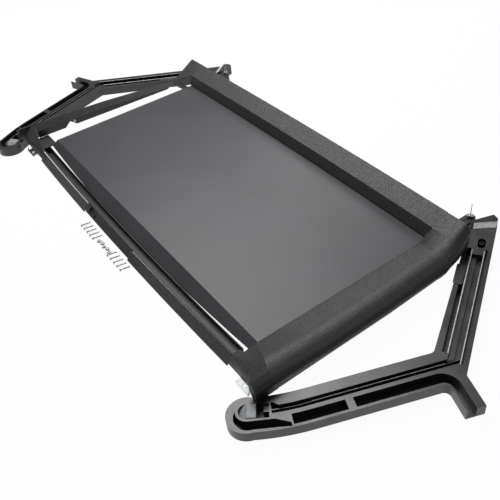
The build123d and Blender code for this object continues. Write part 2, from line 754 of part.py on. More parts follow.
def under_corner(x, y):
    """Height of a front corner's underside above plan point x, y behind its face."""
    points = front_corner_section(x, False)[2:]
    for (y0, z0), (y1, z1) in zip(points, points[1:]):
        if y0 < y <= y1:
            break
    rise = (z1 - z0) / (y1 - y0)
    return z0 + (y - y0) * rise - SHEET_T * hypot(1, rise)


def end_block():
    """Dark moulded block that closes a front corner's end and stands on the arm."""
    knee = Vector(FRONT_HALF, FRONT_Y - FACE_OUT, FACE_TOP)
    apex = Vector(FRONT_HALF, APEX_Y, APEX_Z)
    toe = Vector(FRONT_HALF + BLOCK_IN, APEX_Y - BLOCK_TOE, ARM_H)
    out = (apex - knee).cross(toe - knee)
    size = 2 * REAR_HALF
    cut = Plane(origin=knee, z_dir=-out if out.X > 0 else out) * Box(size, size, size, align=MIN_UP)
    low = ARM_H + SEAT_GAP
    ahead = FRONT_Y - 2 * FACE_OUT
    face = polygon(
        (FRONT_HALF + SEAT_GAP, FACE_TOP),
        (FRONT_HALF + BLOCK_IN, low),
        (COVER_X - COVER_DRAFT, low),
        (COVER_X, END_BOTTOM),
        (COVER_X, 2 * APEX_Z),
        (FRONT_HALF + SEAT_GAP, 2 * APEX_Z),
    )
    bulk = end_bulk(0) + box(FRONT_HALF, COVER_X - COVER_DRAFT, ahead, 0, low, FACE_TOP)
    bulk &= along_y(face, ahead, 0)
    return (bulk & front_seam(SEAT_GAP)) - cut


def lug():
    """Angle foot under a front corner: its toe slopes out and has a bolt hole."""
    seat = under_corner(LUG_IN_X, LUG_HEEL_Y) - SEAT_GAP
    folds = [(LUG_TOE_Y, LUG_T), (LUG_HEEL_Y, LUG_HEEL_Z), (LUG_HEEL_Y, seat)]
    tab = along_x(thick_line(folds, LUG_T), LUG_IN_X, LUG_OUT_X)
    slope = degrees(atan2(LUG_HEEL_Z - LUG_T, LUG_HEEL_Y - LUG_TOE_Y))
    middle = Pos(LUG_OUT_X - LUG_HOLE_IN, (LUG_TOE_Y + LUG_HEEL_Y) / 2, (LUG_T + LUG_HEEL_Z) / 2)
    drill = middle * Rot(slope, 0, 0) * Cylinder(LUG_HOLE_D / 2, 8 * LUG_T)
    cheek = polygon(
        (LUG_TOE_Y, 0.1 * LUG_T),
        (LUG_TOE_Y, 1.5 * LUG_T),
        (LUG_TOE_Y + CHEEK_IN, CHEEK_H),
        (LUG_TOE_Y + CHEEK_IN, LUG_T),
    )
    return tab - drill + along_x(cheek, LUG_OUT_X, LUG_OUT_X + LUG_T)


# ---------------------------------------------------------------- arm geometry in plan
POD = (FRONT_HALF + POD_OUT, FRONT_Y - POD_AHEAD)
ELBOW = (REAR_HALF + ELBOW_OUT, ELBOW_Y)
BEND_R = BEND_L / radians(BEND_ANGLE)
BEND_SIDE = BEND_R * (1 - cos(radians(BEND_ANGLE)))
CHORD = sqrt(hypot(ELBOW[0] - POD[0], ELBOW[1] - POD[1]) ** 2 - BEND_SIDE ** 2)
FRONT_STRAIGHT = CHORD - BEND_R * sin(radians(BEND_ANGLE))
FRONT_L = BEND_L + FRONT_STRAIGHT
FRONT_ANGLE = degrees(atan2(ELBOW[1] - POD[1], ELBOW[0] - POD[0]) + atan2(BEND_SIDE, CHORD))
PIVOT_S = sqrt(hypot(PIVOT_X - ELBOW[0], PIVOT_Y - ELBOW[1]) ** 2 - PIVOT_SIDE ** 2)
REAR_ANGLE = degrees(atan2(PIVOT_Y - ELBOW[1], PIVOT_X - ELBOW[0]) - atan2(PIVOT_SIDE, PIVOT_S))
REAR_L = PIVOT_S + REAR_END
FRONT_DIR = (cos(radians(FRONT_ANGLE)), sin(radians(FRONT_ANGLE)))
REAR_DIR = (cos(radians(REAR_ANGLE)), sin(radians(REAR_ANGLE)))


def front_heading(s):
    """Direction of the front limb at length s from the pod's centre, in degrees."""
    return FRONT_ANGLE - BEND_ANGLE * max(0, 1 - s / BEND_L)


def front_point(s, lateral):
    """Plan point on the front limb: s from the pod's centre, lateral to its outer side."""
    dx, dy = FRONT_DIR
    if s >= BEND_L:
        back = FRONT_L - s
        return ELBOW[0] - dx * back + dy * lateral, ELBOW[1] - dy * back - dx * lateral
    cx = ELBOW[0] - dx * FRONT_STRAIGHT - dy * BEND_R
    cy = ELBOW[1] - dy * FRONT_STRAIGHT + dx * BEND_R
    a = radians(front_heading(s) - 90)
    r = BEND_R + lateral
    return cx + r * cos(a), cy + r * sin(a)


def rear_point(s, lateral):
    """Plan point on the rear limb: s from the elbow, lateral to its outer side."""
    dx, dy = REAR_DIR
    return ELBOW[0] + dx * s + dy * lateral, ELBOW[1] + dy * s - dx * lateral


def stub_point(out, along):
    """Plan point on the stub: out from the front limb's centre line, along that line."""
    return front_point(FRONT_L + along, out)


def limb_side(s0, s1, lateral):
    """Edges that follow the front limb at a constant distance from its centre line."""
    edges = []
    if s0 < BEND_L:
        end = min(s1, BEND_L)
        points = [front_point(s, lateral) for s in (s0, (s0 + end) / 2, end)]
        edges.append(ThreePointArc(*points))
    if s1 > BEND_L:
        edges.append(Line(front_point(max(s0, BEND_L), lateral), front_point(s1, lateral)))
    return edges


def band(s0, s1, a, b):
    """Strip of the front limb between two lengths and two lateral offsets."""
    start = Line(front_point(s0, a), front_point(s0, b))
    end = Line(front_point(s1, a), front_point(s1, b))
    return make_face([*limb_side(s0, s1, a), *limb_side(s0, s1, b), start, end])


def rear_band(s0, s1, a, b):
    return polygon(rear_point(s0, a), rear_point(s1, a), rear_point(s1, b), rear_point(s0, b))


def round_vertex(face, point, radius):
    return fillet(face.vertices().sort_by_distance((*point, 0))[0], radius)


def crossing(front_lateral, rear_lateral):
    """Plan point where a line along the front limb meets one along the rear limb."""
    turn = radians(REAR_ANGLE - FRONT_ANGLE)
    past = (rear_lateral - front_lateral * cos(turn)) / sin(turn)
    return front_point(FRONT_L + past, front_lateral)


def rear_end_points():
    """Corners of the rear limb's slanted end, from its inner to its outer side."""
    inner = REAR_W / 2 - REAR_TAPER
    outer = REAR_W / 2
    return [
        rear_point(REAR_L - END_SLANT, -inner),
        rear_point(REAR_L, outer - END_NOSE),
        rear_point(REAR_L - END_NOSE, outer - END_NOSE / 6),
        rear_point(REAR_L - END_SLANT, outer),
    ]


def arm_outline():
    """Plan of a whole arm: pod, front limb, elbow with its stub, rear limb and ear."""
    half = FRONT_W / 2
    w = STUB_W / 2
    root = -FRONT_W / 4
    outline = Pos(*POD) * Circle(POD_R) + band(0, FRONT_L, -half, half)
    outline += polygon(rear_point(root, -REAR_W / 2), *rear_end_points(), rear_point(root, REAR_W / 2))
    tip = STUB_OUT
    outline += polygon(stub_point(0, -w), stub_point(tip, -w), stub_point(tip, w), stub_point(0, w))
    outline += Pos(PIVOT_X, PIVOT_Y) * Circle(EAR_R)
    outline += rear_band(PIVOT_S - 3 * EAR_R, PIVOT_S, -PIVOT_SIDE - EAR_R, EAR_R - PIVOT_SIDE)
    face = round_vertex(outline.face(), stub_point(half, -w), STUB_ROUND)
    return round_vertex(face, crossing(-half, -REAR_W / 2), ELBOW_ROUND)


# ---------------------------------------------------------------- arm pieces
def pocket(face, floor_z):
    """Cutter that opens a pocket from the top of the arm down to floor_z."""
    return from_floor(face, floor_z, ARM_H - floor_z + 1)


def running_sum(start, widths):
    marks = [start]
    for width in widths:
        marks.append(marks[-1] + width)
    return marks


def front_marks():
    """Offsets across the front limb: groove, guide strip, ledge, mid strip, slot."""
    widths = (GROOVE_W - GUIDE_T, GUIDE_T, LEDGE_W, MID_STRIP)
    return [*running_sum(INNER_FLANGE - FRONT_W / 2, widths), FRONT_W / 2 - RIM_T]


def rear_marks():
    """Offsets across the rear limb: groove, rib, ledge, channel, rib, rim groove."""
    widths = (REAR_GROOVE, RIB_T, REAR_LEDGE, REAR_CHANNEL, RIB_T, RIM_GROOVE)
    return running_sum(REAR_FLANGE - REAR_W / 2, widths)


def groove_faces():
    """The front limb's groove: a funnel, a long run, and its turn into the rear limb."""
    groove, guide = front_marks()[:2]
    rib = rear_marks()[4]
    run = FRONT_L - REAR_W
    wide = guide - FUNNEL_W
    start = GROOVE_START + FUNNEL_L
    funnel = polygon(
        front_point(GROOVE_START, wide), front_point(GROOVE_START + FUNNEL_L / 3, wide),
        front_point(start, groove), front_point(start + 1, guide), front_point(GROOVE_START, guide),
    )
    turn = polygon(
        front_point(run, groove), crossing(groove, rib), crossing(guide, rib), front_point(run, guide),
    )
    return [funnel, band(start - 1, run + 1, groove, guide), turn]


def slot_turn():
    """The long slot: it turns out into the stub in two smooth curves."""
    slot, outer = front_marks()[4:]
    left = STUB_LIP - STUB_W / 2
    right = left + STUB_SLOT_W
    end = STUB_OUT + 1
    face = polygon(
        front_point(BRIDGE_S + BRIDGE_L, slot), stub_point(slot, right), stub_point(end, right),
        stub_point(end, left), stub_point(outer, left), front_point(BRIDGE_S + BRIDGE_L, outer),
    )
    face = round_vertex(face, stub_point(slot, right), SLOT_TURN)
    return round_vertex(face, stub_point(outer, left), SLOT_TURN_IN)


def seat_frame():
    """Frame at the pod's centre, on the lock block's centre line, +X along its travel."""
    return Pos(*front_point(0, -BLOCK_SIDE)) * Rot(0, 0, front_heading(0))


def block_outline(grow, extra):
    """Plan of the lock block: round towards the pod's tip, square to the elbow."""
    r = BLOCK_R + grow
    far = BLOCK_END + extra
    body = Pos(far / 2, 0) * Rectangle(far, 2 * r)
    return seat_frame() * (Circle(r) + body).face()


def pod_pocket():
    """Dark crescent round the lock block that tapers into the front limb."""
    outer = FRONT_W / 2 - RIM_T
    inner = BLOCK_R - BLOCK_SIDE + BLOCK_GAP + WEB_W
    edge = FRONT_W / 2 - TAIL_EDGE
    end = SLOT_START - RIB_T
    tail = polygon(
        front_point(POCKET_S, inner),
        front_point(TAIL_MID, inner),
        front_point(end, edge - TAIL_W),
        front_point(end, edge),
        front_point(TAIL_MID, outer),
        front_point(POCKET_S, outer),
    )
    disc = Pos(*front_point(POCKET_S, POCKET_SIDE)) * Circle(POCKET_R)
    island = block_outline(WEB_W + BLOCK_GAP, POCKET_R)
    return (disc - island + tail).faces()


def arm_shell():
    """Moulded arm: flat flanges, channels and pockets open upward."""
    groove, guide, ledge, strip, slot, outer = front_marks()
    g0, g1, g2, g3, g4, g5, g6 = rear_marks()
    shell = from_floor(arm_outline(), 0, ARM_H)
    for face in groove_faces():
        shell -= pocket(face, ARM_H - GROOVE_DEPTH)
    run = FRONT_L - REAR_W
    far = (crossing(ledge, g4), crossing(strip, g4))
    step = polygon(front_point(run, ledge), *far, front_point(run, strip))
    for face in (band(GROOVE_START, run + 1, ledge, strip), step, guide_plan()):
        shell -= pocket(face, ARM_H - LEDGE_DROP)
    shell -= pocket(band(SLOT_START, BRIDGE_S, slot, outer), ARM_FLOOR)
    shell -= pocket(slot_turn(), ARM_FLOOR)
    for face in pod_pocket():
        shell -= pocket(face, ARM_FLOOR)
    shell -= pocket(block_outline(BLOCK_GAP, BLOCK_TRAVEL + BLOCK_GAP), SEAT_FLOOR)
    land = BLOCK_END + BLOCK_GAP
    pit = Pos(land + PIT_L / 2, -BLOCK_R + PIT_W / 2) * Rectangle(PIT_L, PIT_W)
    box_y = PIT_W - BLOCK_R + GUIDE_T
    sunk = Pos(land + PIT_L / 2, (box_y + BLOCK_R) / 2) * Rectangle(PIT_L, BLOCK_R - box_y)
    shell -= pocket(seat_frame() * pit, SEAT_FLOOR)
    shell -= pocket(seat_frame() * sunk, ARM_H - BOX_DROP)

    stop = REAR_L - REAR_STOP
    back = stop - STEP_BACK
    far = (rear_point(back, g2), rear_point(back, g3))
    middle = polygon(crossing(groove, g2), *far, crossing(groove, g3))
    far = (rear_point(back, g3), rear_point(back, g4))
    channel = polygon(crossing(groove, g3), *far, crossing(groove, g4))
    shell -= pocket(rear_band(REAR_START, stop, g0, g1), ARM_FLOOR)
    shell -= pocket(middle, ARM_H - REAR_LEDGE_DROP)
    shell -= pocket(channel, ARM_H - GROOVE_DEPTH)
    shell -= pocket(rear_band(RIM_START, stop, g5, g6), ARM_H - GROOVE_DEPTH)
    eye = Pos(*rear_point(REAR_L - EYE_BACK, EYE_SIDE)) * Rot(0, 0, REAR_ANGLE)
    shell -= pocket(eye * SlotOverall(EYE_L, EYE_W), ARM_FLOOR)
    return shell - rod(PIVOT_X, PIVOT_Y, -1, ARM_H + 1, 2 * BUSH_R)


def eye_ring():
    """Small ring that stands in the oval recess."""
    x, y = rear_point(REAR_L - EYE_BACK + RING_SHIFT, EYE_SIDE)
    d = EYE_W - 2 * RING_IN
    ring = rod(x, y, ARM_FLOOR, ARM_H - RING_DROP, d)
    return ring - rod(x, y, 0, ARM_H, d - 2 * RING_T)


def guide_plan():
    guide, ledge = front_marks()[1:3]
    return band(GROOVE_START + FUNNEL_L, FRONT_L, guide, ledge)


def guide_strip():
    """Thin guide strip that stands between the groove and the ledge beside it."""
    return from_floor(guide_plan(), ARM_H - LEDGE_DROP, LEDGE_DROP - GUIDE_DROP)


def lock_block():
    """Light block in the pod: it slides along the arm to lock it under the tray."""
    foot = SEAT_FLOOR + SEAT_GAP
    top = ARM_H + BLOCK_RISE
    block = from_floor(block_outline(0, 0), foot, top - foot)
    rim = block.faces().sort_by(Axis.Z)[-1].edges()
    block = fillet(rim, BLOCK_EDGE)
    slope = degrees(atan2(NOSE_DROP, BLOCK_R + NOSE_S))
    nose = Pos(NOSE_S, 0, top) * Rot(0, -slope, 0)
    keep = Box(2 * BLOCK_R, 4 * BLOCK_R, 2 * BLOCK_R, align=(Align.MAX, Align.CENTER, Align.MIN))
    return block - seat_frame() * nose * keep


def end_cap():
    """Raised cap over the rear limb's slanted end; its front face leans back."""
    start = REAR_L - END_SLANT - CAP_L
    inner = REAR_W / 2 - REAR_TAPER
    outer = REAR_W / 2
    foot = polygon(rear_point(start, 1 - inner), *rear_end_points(), rear_point(start, outer))
    top = ARM_H + CAP_RISE + 1
    cap = from_floor(foot, ARM_H, CAP_RISE)
    heading = degrees(atan2(CAP_SHIFT, inner + outer))
    slope = degrees(atan2(CAP_RISE, CAP_SLOPE))
    lean = Pos(*rear_point(start, -inner), ARM_H) * Rot(0, 0, REAR_ANGLE + heading) * Rot(0, -slope, 0)
    size = 4 * REAR_W
    cap -= lean * Box(size, size, 4 * CAP_RISE, align=MIN_UP)
    clear = rod(PIVOT_X, PIVOT_Y, 0, top, BRACKET_W + 2 * CAP_CLEARANCE)
    clear += box(PIVOT_X, PIVOT_X + BRACKET_W / 2 + CAP_CLEARANCE, REAR_Y, PIVOT_Y, 0, top)
    return cap - clear


def stop_block():
    """Block on the inner flange that stops the arm under the tray's end."""
    half = STOP_BLOCK_L / 2
    inner = STOP_BLOCK_IN - REAR_W / 2
    face = rear_band(STOP_BLOCK_S - half, STOP_BLOCK_S + half, inner, inner + STOP_BLOCK_W)
    return from_floor(face, ARM_H, STOP_BLOCK_RISE)


def pivot_bush():
    bush = rod(PIVOT_X, PIVOT_Y, 0, ARM_H, 2 * BUSH_R)
    return bush - rod(PIVOT_X, PIVOT_Y, -1, ARM_H + 1, PIN_D + 2 * PIN_CLEARANCE)


# ---------------------------------------------------------------- pivots on the tray
def rear_bracket():
    """Flat tongue from the back wall to the pivot pin, just over the arm."""
    half = BRACKET_W / 2
    top = BRACKET_Z + BRACKET_T
    strap = box(PIVOT_X - half, PIVOT_X + half, REAR_Y - BRACKET_LAP, PIVOT_Y, BRACKET_Z, top)
    eye = rod(PIVOT_X, PIVOT_Y, BRACKET_Z, top, BRACKET_W)
    return strap + eye - rod(PIVOT_X, PIVOT_Y, 0, 2 * top, PIN_D)


def pivot_pin():
    return rod(PIVOT_X, PIVOT_Y, PIN_FOOT, BRACKET_Z + BRACKET_T, PIN_D)


def pin_clip():
    """Spring clip over the pin's end: a small box and two thin wires that spread."""
    base = Pos(PIVOT_X, PIVOT_Y, BRACKET_Z + BRACKET_T)
    clip = base * Rot(0, 0, CLIP_TURN) * Box(CLIP_L, CLIP_W, CLIP_H, align=MIN_UP)
    clip = fillet(clip.edges().filter_by(Axis.Z), CLIP_ROUND)
    wire = Cylinder(WIRE_D / 2, WIRE_H, align=MIN_UP)
    for side in (-1, 1):
        clip += base * Pos(0, 0, CLIP_H - 1) * Rot(0, 0, WIRE_TURN) * Rot(0, side * WIRE_SPREAD, 0) * wire
    return clip


# ---------------------------------------------------------------- fasteners
def pan_screw(length):
    """Pan-head screw along +Z, head at the bottom end, tip up."""
    head = Cylinder(HEAD_D / 2, HEAD_T, align=MIN_UP)
    shank = Pos(0, 0, HEAD_T) * Cylinder(SCREW_D / 2, length, align=MIN_UP)
    slot = Box(DRIVE_L, DRIVE_W, 2 * DRIVE_DEPTH)
    return head + shank - slot - Rot(0, 0, 90) * slot


def loose_screws():
    """Two rows of screws laid on the floor in front of the tray."""
    screws = []
    tilt = 90 - degrees(atan2((HEAD_D - SCREW_D) / 2, LOOSE_L + HEAD_T))
    for i in range(2 * LOOSE_COUNT):
        x = LOOSE_X + i * LOOSE_PITCH + (LOOSE_GAP if i >= LOOSE_COUNT else 0)
        pose = Pos(x, FRONT_Y - LOOSE_OUT, HEAD_D / 2) * Rot(0, 0, LOOSE_TURN) * Rot(-tilt, 0, 0)
        screws.append(pose * pan_screw(LOOSE_L))
    return Compound(children=screws)


def loose_row(item, z):
    """Small items in a row on the floor, stepped to and fro."""
    y = FRONT_Y - LOOSE_OUT + NUT_BACK
    places = []
    for i in range(LOOSE_COUNT):
        step = -NUT_STAGGER if i % 2 else NUT_STAGGER
        places.append(Pos(NUT_X + NUT_PITCH * i, y - step, z) * Rot(0, 0, LOOSE_TURN * i) * item)
    return Compound(children=places)


def loose_nuts():
    """One nut lies on each washer."""
    hexagon = RegularPolygon(NUT_AF / 2, 6, major_radius=False) - Circle(SCREW_D / 2)
    return loose_row(extrude(hexagon, NUT_T), WASHER_T)


def loose_washers():
    ring = extrude(Circle(WASHER_D / 2) - Circle(WASHER_HOLE / 2), WASHER_T)
    return loose_row(ring, 0)


# ---------------------------------------------------------------- the assembly
parts["rear_rail"] = rear_rail()
parts["rear_skirt"] = rear_skirt()
parts["front_rail_left"] = front_rail(-FRONT_CORNER_X, HANDLE_LEFT)
parts["front_rail_right"] = front_rail(HANDLE_RIGHT, FRONT_CORNER_X)
parts["handle_recess"] = handle_recess()
parts["handle_catch"] = handle_catch()
parts["front_gutter"] = front_gutter()
parts["corner_gusset_left"] = corner_gusset()
parts["deck_panel"] = deck_panel()
parts["deck_crossbars"] = deck_crossbars()
parts["end_rail_left"] = flipped(end_rail())
parts["end_beam_right"] = end_beam()
parts["end_cover_right"] = end_cover()
parts["seam_strap_front"] = seam_strap(front_seam(-STRAP_W), front_seam(0))
parts["seam_strap_rear"] = seam_strap(rear_seam(STRAP_AHEAD), rear_seam(-STRAP_W))
parts["end_link_left"] = flipped(end_link())
parts["corner_rear_left"] = flipped(rear_corner_open())
parts["corner_rear_right"] = rear_corner_covered()
parts["corner_front_left"] = flipped(front_corner(False))
parts["corner_front_right"] = front_corner(True)
both_sides("end_block", end_block())
both_sides("lug", lug())
both_sides("pivot_bracket", rear_bracket())
both_sides("pivot_pin", pivot_pin())
both_sides("pin_clip", pin_clip())
both_sides("arm_shell", arm_shell())
both_sides("arm_guide_strip", guide_strip())
both_sides("arm_eye_ring", eye_ring())
both_sides("arm_end_cap", end_cap())
both_sides("arm_stop_block", stop_block())
both_sides("pivot_bush", pivot_bush())
both_sides("lock_block", lock_block())
parts["rail_screw"] = flipped(rail_screw())
parts["loose_screws"] = loose_screws()
parts["loose_nuts"] = loose_nuts()
parts["loose_washers"] = loose_washers()

os.makedirs("parts", exist_ok=True)
for name, shape in parts.items():
    export_step(shape, f"parts/{name}.step")
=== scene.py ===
# %% [markdown]
# # A pet bed tray on flat swing arms
# The bed is a shallow sheet-metal tray. A smooth deck lies between grained rails, the right
# end is closed by a rounded cover, and two moulded arms lie flat on the floor under its
# short ends. The solids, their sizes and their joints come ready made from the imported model.
# This lesson gives every one of them the finish of the real thing, adds the small rounded
# edges that catch the light, and lights the bed softly on a white floor.

import json
import math

import bmesh
import bpy
from mathutils import Matrix, Vector


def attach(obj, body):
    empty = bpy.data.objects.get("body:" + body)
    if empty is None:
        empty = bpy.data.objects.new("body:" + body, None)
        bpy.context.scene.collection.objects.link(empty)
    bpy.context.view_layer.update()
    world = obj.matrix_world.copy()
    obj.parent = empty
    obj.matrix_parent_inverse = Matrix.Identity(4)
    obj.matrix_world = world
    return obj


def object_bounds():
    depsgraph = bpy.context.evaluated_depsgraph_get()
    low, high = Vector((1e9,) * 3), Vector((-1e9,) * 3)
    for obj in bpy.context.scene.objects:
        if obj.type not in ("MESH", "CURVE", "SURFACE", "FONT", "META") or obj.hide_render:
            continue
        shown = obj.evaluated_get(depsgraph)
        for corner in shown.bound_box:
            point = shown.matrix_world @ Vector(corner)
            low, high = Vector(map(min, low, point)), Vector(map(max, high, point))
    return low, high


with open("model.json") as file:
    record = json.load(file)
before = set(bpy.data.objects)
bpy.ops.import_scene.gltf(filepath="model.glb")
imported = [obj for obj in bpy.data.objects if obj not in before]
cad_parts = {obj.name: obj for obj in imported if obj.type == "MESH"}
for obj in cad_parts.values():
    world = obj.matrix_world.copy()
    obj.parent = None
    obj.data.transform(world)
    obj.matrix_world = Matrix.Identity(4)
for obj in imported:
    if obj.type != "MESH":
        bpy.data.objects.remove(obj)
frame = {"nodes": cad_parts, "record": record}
nodes = frame["nodes"]
cad_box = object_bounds()
MM = 0.001
print("pieces:", len(nodes), "box:", [tuple(round(c, 4) for c in corner) for corner in cad_box])

# %% [markdown]
# ## Colours
# A finish is easiest to talk about as the hex value one reads off a paint card. Shaders work
# in linear light, so one function turns the card's sRGB value into linear numbers. It is the
# only place where that happens, which keeps every colour in the file readable.

# %% Turn a paint card's hex value into linear light
def paint(hex_value):
    """Linear RGBA of an sRGB hex value such as "#1f2022"."""
    parts = [int(hex_value[i:i + 2], 16) / 255 for i in (1, 3, 5)]
    linear = [c / 12.92 if c <= 0.04045 else ((c + 0.055) / 1.055) ** 2.4 for c in parts]
    return (*linear, 1.0)


print("a card's #808080 in linear light:", [round(c, 3) for c in paint("#808080")])

# %% [markdown]
# ## One helper for shader nodes
# A node material is a small graph. Writing `nodes.new`, then settings, then links for each
# node hides what the graph does, so one function adds a node with its settings and its
# inputs. An input is either a plain value or another node's output.

# %% Add one shader node with its settings and links
def add(tree, kind, inputs=None, **settings):
    made = tree.nodes.new(kind)
    for name, value in settings.items():
        setattr(made, name, value)
    for name, value in (inputs or {}).items():
        if isinstance(value, bpy.types.NodeSocket):
            tree.links.new(value, made.inputs[name])
        else:
            made.inputs[name].default_value = value
    return made


# %% Start a finish
def new_finish(name):
    """An empty material with its surface shader and the part's own coordinates."""
    finish = bpy.data.materials.new(name)
    finish.use_nodes = True
    tree = finish.node_tree
    tree.nodes.clear()
    surface = add(tree, "ShaderNodeBsdfPrincipled")
    output = add(tree, "ShaderNodeOutputMaterial", {"Surface": surface.outputs["BSDF"]})
    output.is_active_output = True
    place = add(tree, "ShaderNodeTexCoord").outputs["Object"]
    return finish, tree, surface, place


# %% [markdown]
# ## Patterns at a real size
# Each finish below is one or two noise patterns, read as colour, as roughness and as relief.
# A pattern's size is given in millimetres, so it can be held against the real thing, and it
# lies in the part's own coordinates, so it moves with its piece. One that is finer than
# about 2 mm would vanish in a render of the whole bed. It is drawn coarser, and its size
# then says "as drawn".

# %% Draw noise at a real size
def grain(tree, place, size_mm, detail=2.0, roughness=0.5):
    """Noise whose lumps are about size_mm across."""
    made = add(tree, "ShaderNodeTexNoise", {
        "Vector": place, "Scale": 1 / (size_mm * MM), "Detail": detail, "Roughness": roughness,
    })
    return made.outputs["Fac"]


# %% Read a pattern as colour, as a number or as relief
USUAL = (0.3, 0.7)    # noise seldom leaves this range

def between(tree, factor, low, high, dark, light):
    """Colour that runs from dark to light as factor goes from low to high."""
    ramp = add(tree, "ShaderNodeValToRGB", {"Fac": factor})
    ramp.color_ramp.elements[0].position = low
    ramp.color_ramp.elements[0].color = paint(dark)
    ramp.color_ramp.elements[1].position = high
    ramp.color_ramp.elements[1].color = paint(light)
    return ramp.outputs["Color"]


def span(tree, factor, low, high, start, end):
    """Number that runs from start to end as factor goes from low to high."""
    made = add(tree, "ShaderNodeMapRange", {
        "Value": factor, "From Min": low, "From Max": high, "To Min": start, "To Max": end,
    })
    return made.outputs["Result"]


def bump(tree, surface, height, depth_mm, strength):
    """Shade the surface as if height, a number from 0 to 1, raised it by up to depth_mm."""
    made = add(tree, "ShaderNodeBump", {
        "Height": height, "Distance": depth_mm * MM, "Strength": strength,
    })
    tree.links.new(made.outputs["Normal"], surface.inputs["Normal"])


# %% [markdown]
# ## Grained powder coat
# The rails, the corners and the end cover are folded steel with a black powder coat of the
# grained kind: the powder shrinks into small lumps as it bakes. To the eye it is a soft
# charcoal, never a clean mirror, with a fine salt-and-pepper speckle and a broad sheen where
# a face turns towards the light. The real lumps are under a millimetre, which is finer than
# the render can hold, so they are drawn about four times as coarse, over a faint wider mottle.

# %% Make the grained coat
COAT_GRAIN = 3.0     # mm, the lumps as drawn
COAT_RELIEF = 0.60   # mm, the lumps' height as drawn
COAT_MOTTLE = 45.0   # mm, slow change of tone along a rail

def make_grained_coat():
    finish, tree, surface, place = new_finish("grained_powder_coat")
    lumps = grain(tree, place, COAT_GRAIN, detail=3.0, roughness=0.6)
    mottle = grain(tree, place, COAT_MOTTLE)
    tone = between(tree, lumps, 0.36, 0.64, "#0a0a0b", "#343537")
    slow = between(tree, mottle, 0.35, 0.65, "#e6e6e6", "#ffffff")
    mixed = add(tree, "ShaderNodeMix", {"Factor": 1.0}, data_type="RGBA", blend_type="MULTIPLY")
    tree.links.new(tone, mixed.inputs["A"])
    tree.links.new(slow, mixed.inputs["B"])
    tree.links.new(mixed.outputs["Result"], surface.inputs["Base Color"])
    tree.links.new(span(tree, lumps, 0.36, 0.64, 0.62, 0.44), surface.inputs["Roughness"])
    surface.inputs["IOR"].default_value = 1.5
    bump(tree, surface, lumps, COAT_RELIEF, strength=0.7)
    return finish


# %% [markdown]
# ## Satin sheet of the deck
# The deck is one flat sheet with a smooth satin coat. Its surface is even, so what the eye
# reads is the light: a pale, slow pool in the middle that falls away to charcoal at the rear
# and at the left. A medium roughness gives that wide pool, and a trace of orange peel keeps
# it from looking like a cut-out.

# %% Make the satin sheet
PEEL = 3.2           # mm, orange peel as drawn
PEEL_RELIEF = 0.12   # mm, its height as drawn
SHEET_CLOUD = 140.0  # mm, slow change of tone over the sheet

def make_satin_sheet():
    finish, tree, surface, place = new_finish("satin_coated_sheet")
    peel = grain(tree, place, PEEL)
    cloud = grain(tree, place, SHEET_CLOUD, detail=1.0)
    tone = between(tree, cloud, 0.35, 0.65, "#2b2c30", "#313236")
    tree.links.new(tone, surface.inputs["Base Color"])
    tree.links.new(span(tree, peel, *USUAL, 0.36, 0.44), surface.inputs["Roughness"])
    surface.inputs["IOR"].default_value = 1.5
    bump(tree, surface, peel, PEEL_RELIEF, strength=0.6)
    return finish


# %% [markdown]
# ## Smooth black coat
# The gutter, the back wall, the brackets and the bars under the deck are the same steel with
# a plain black coat. It is darker than the grained one and smoother.

# %% Make the smooth black coat
COAT_PEEL = 2.4      # mm, orange peel of the smooth coat as drawn
COAT_CLOUD = 60.0    # mm, slow change of tone along a bar

def make_black_coat():
    finish, tree, surface, place = new_finish("smooth_black_coat")
    peel = grain(tree, place, COAT_PEEL)
    tone = between(tree, grain(tree, place, COAT_CLOUD), 0.35, 0.65, "#08090a", "#0d0e0f")
    tree.links.new(tone, surface.inputs["Base Color"])
    tree.links.new(span(tree, peel, *USUAL, 0.44, 0.52), surface.inputs["Roughness"])
    surface.inputs["IOR"].default_value = 1.5
    bump(tree, surface, peel, depth_mm=0.03, strength=0.4)
    return finish


# %% [markdown]
# ## Moulded nylon of the arms
# The arms are large mouldings in black glass-filled nylon. The tool's surface is nearly
# smooth: the flat flanges mirror the soft boxes and the room in a blur and look mid grey,
# while the deep channels stay black. Glass fibre leaves a faint cloudy flow in the sheen, a
# few centimetres long.

# %% Make the moulded nylon
FLOW = 38.0          # mm, clouds of the flow
SPARK = 2.2          # mm, the tool's fine spark texture as drawn

def make_nylon():
    finish, tree, surface, place = new_finish("moulded_black_nylon")
    flow = grain(tree, place, FLOW, detail=3.0)
    spark = grain(tree, place, SPARK)
    tone = between(tree, flow, *USUAL, "#17181b", "#212225")
    tree.links.new(tone, surface.inputs["Base Color"])
    tree.links.new(span(tree, flow, *USUAL, 0.26, 0.36), surface.inputs["Roughness"])
    surface.inputs["IOR"].default_value = 1.6
    bump(tree, surface, spark, depth_mm=0.05, strength=0.5)
    return finish


# %% [markdown]
# ## Dark moulded blocks
# The blocks that close the tray's corners, and the handle's recess with its catch, are plain
# black mouldings with a dull skin. They read as the darkest pieces of the bed.

# %% Make the dull black moulding
BLOCK_SPARK = 1.8    # mm, the mould's spark texture as drawn
BLOCK_CLOUD = 30.0   # mm, slow change of tone over a block

def make_dull_moulding():
    finish, tree, surface, place = new_finish("dull_black_moulding")
    spark = grain(tree, place, BLOCK_SPARK)
    tone = between(tree, grain(tree, place, BLOCK_CLOUD), 0.35, 0.65, "#0b0c0d", "#121314")
    tree.links.new(tone, surface.inputs["Base Color"])
    tree.links.new(span(tree, spark, *USUAL, 0.50, 0.62), surface.inputs["Roughness"])
    surface.inputs["IOR"].default_value = 1.5
    bump(tree, surface, spark, depth_mm=0.12, strength=0.6)
    return finish


